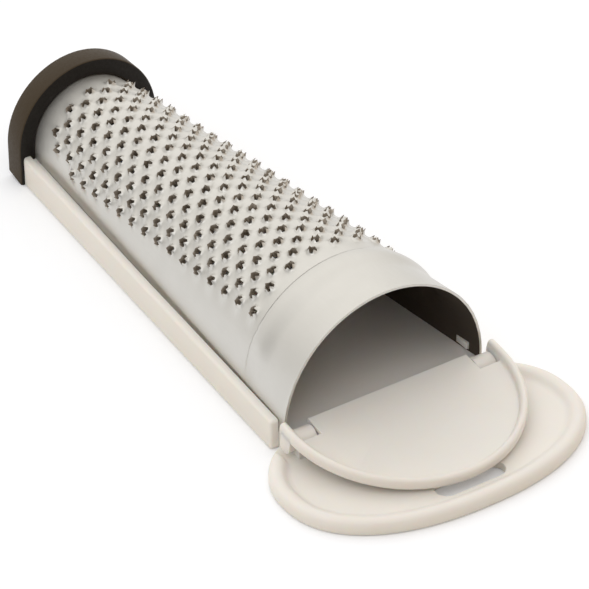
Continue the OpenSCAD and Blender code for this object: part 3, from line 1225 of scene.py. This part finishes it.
@dataclass
class Studio:
    """Pale floor, soft light and the camera of the photograph."""

    azimuth_deg: float = -34.08
    elevation_deg: float = 34.57
    distance_mm: float = 657.7
    aim_mm: Triple = (-4.258, 23.587, 15.0)
    focal_px: float = 3489.5
    sensor_mm: float = 36.0
    clip_m: Pair = (0.01, 20.0)
    dome_axis: Triple = (0.2, 0.62, 0.76)
    dome_level: float = 0.55
    dome_slope: float = 0.72
    dome_colour: str = "#fffdfa"
    warm_axis: Triple = (0.5, -0.7, -0.5)
    warm_colour: str = "#ffdfba"
    fill_place_m: Triple = (-0.5, -0.4, 0.7)
    fill_size_m: float = 0.8
    fill_power_w: float = 1.6
    fill_colour: str = "#fafbff"
    floor_size_m: float = 6.0
    floor_gap_mm: float = 0.05
    floor_lift: float = 0.09
    floor_glow: str = "#f6fbff"
    floor_bounce: str = "#f0ebe2"
    paper: tuple[str, str] = ("#f9fbff", "#fcfdff")
    paper_cloud_mm: float = 4.0

    def camera(self) -> None:
        """Places the camera."""
        a, e = math.radians(self.azimuth_deg), math.radians(self.elevation_deg)
        back = Vector((math.sin(a) * math.cos(e), -math.cos(a) * math.cos(e), math.sin(e)))
        aim = Vector(self.aim_mm) * MM + Vector((0.0, front_edge_y(), 0.0))
        data = bpy.data.cameras.new("camera")
        data.sensor_width = self.sensor_mm
        data.lens = self.focal_px / PICTURE_PX * self.sensor_mm
        data.clip_start, data.clip_end = self.clip_m
        camera = add_object("camera", data)
        camera.location = aim + back * self.distance_mm * MM
        camera.rotation_euler = (-back).to_track_quat("-Z", "Y").to_euler()
        bpy.context.scene.camera = camera

    def sky(self) -> None:
        """Lights the scene from a pale dome, brightest above the rear and warm low at the front right."""
        world = bpy.data.worlds.new("studio_dome")
        world.use_nodes = True
        tree = world.node_tree
        tree.nodes.clear()
        towards = add_node(tree, "TexCoord").outputs["Generated"]
        shares = []
        for axis in (self.dome_axis, self.warm_axis):
            along = {"operation": "DOT_PRODUCT", 1: Vector(axis).normalized()}
            shares.append(add_node(tree, "VectorMath", along, {0: towards}).outputs["Value"])
        slope = {"operation": "MULTIPLY_ADD", 1: self.dome_slope, 2: self.dome_level}
        strength = add_node(tree, "Math", slope, {0: shares[0]})
        colours = (self.dome_colour, self.warm_colour)
        colour = add_node(tree, "ValToRGB", links={"Fac": shares[1]}, ramp=colours)
        dome = add_node(tree, "Background", links={"Color": colour, "Strength": strength})
        add_node(tree, "OutputWorld", links={"Surface": dome})
        bpy.context.scene.world = world

    def paper_material(self) -> Material:
        """Builds the floor's nodes: pale paper, lifted a little towards white where it is seen."""
        material, tree = new_material("studio_paper")
        where = add_node(tree, "TexCoord").outputs["Object"]
        size = {"Scale": per_metre(self.paper_cloud_mm), "Detail": 3.0}
        clouds = add_node(tree, "TexNoise", size, {"Vector": where})
        tint = add_node(tree, "ValToRGB", links={"Fac": clouds}, ramp=self.paper)
        path = add_node(tree, "LightPath").outputs
        shown = path["Is Camera Ray"]
        for ray in ("Is Glossy Ray", "Is Transmission Ray"):
            shown = add_node(tree, "Math", {"operation": "MAXIMUM"}, {0: shown, 1: path[ray]})
        # Inputs 0, 6 and 7 and output 2 of a colour mix are its share, its two colours and its result
        bounce = {"data_type": "RGBA", 6: linear(self.floor_bounce)}
        look = add_node(tree, "Mix", bounce, {0: shown, 7: tint}).outputs[2]
        paper = add_node(tree, "BsdfDiffuse", links={"Color": look})
        lift = add_node(tree, "Math", {"operation": "MULTIPLY", 1: self.floor_lift}, {0: shown})
        glow = add_node(tree, "Emission", {"Color": linear(self.floor_glow)}, {"Strength": lift})
        both = add_node(tree, "AddShader", links={0: paper, 1: glow})
        add_node(tree, "OutputMaterial", links={"Surface": both})
        return material

    def floor(self) -> None:
        """Lays a paper floor that keeps the object's soft shadow."""
        bm = bmesh.new()
        bmesh.ops.create_grid(bm, x_segments=2, y_segments=2, size=self.floor_size_m / 2)
        bmesh.ops.translate(bm, verts=bm.verts, vec=(0.0, 0.0, -self.floor_gap_mm * MM))
        mesh = bpy.data.meshes.new("floor")
        bm.to_mesh(mesh)
        bm.free()
        mesh.materials.append(self.paper_material())
        floor = add_object("floor", mesh)

    def fill(self) -> None:
        """Adds a softbox at the front left, aimed at the object."""
        data = bpy.data.lights.new("fill", "AREA")
        data.size = self.fill_size_m
        data.energy = self.fill_power_w
        data.color = linear(self.fill_colour)[:3]
        place = Vector(self.fill_place_m)
        lamp = add_object("fill", data)
        lamp.location = place
        lamp.rotation_euler = (-place).to_track_quat("-Z", "Y").to_euler()

    def build(self) -> None:
        """Makes the whole studio."""
        self.camera()
        self.sky()
        self.floor()
        self.fill()
        bpy.context.scene.view_settings.view_transform = "Standard"
        LOG.info("studio: camera, dome, floor and fill light")


def main() -> None:
    """Builds every piece in order."""
    logging.basicConfig(level=logging.INFO, format="%(name)s: %(message)s")
    Studio().build()
    GratingSheet().dress(STEEL.material(), STEEL_INSIDE_PAINTED_SHADE.material(), STEEL_TORN_PAINTED_SHADE.material())
    ivory = IVORY.material()
    BaseMoulding().dress(ivory)
    StorageDoor().dress(ivory)
    dress_node("hinge_pins", PIN_STEEL.material())
    EndCap().dress(BLACK.material(), BLACK_FRONT_PAINTED_SHADE.material())


if __name__ == "__main__":
    main()
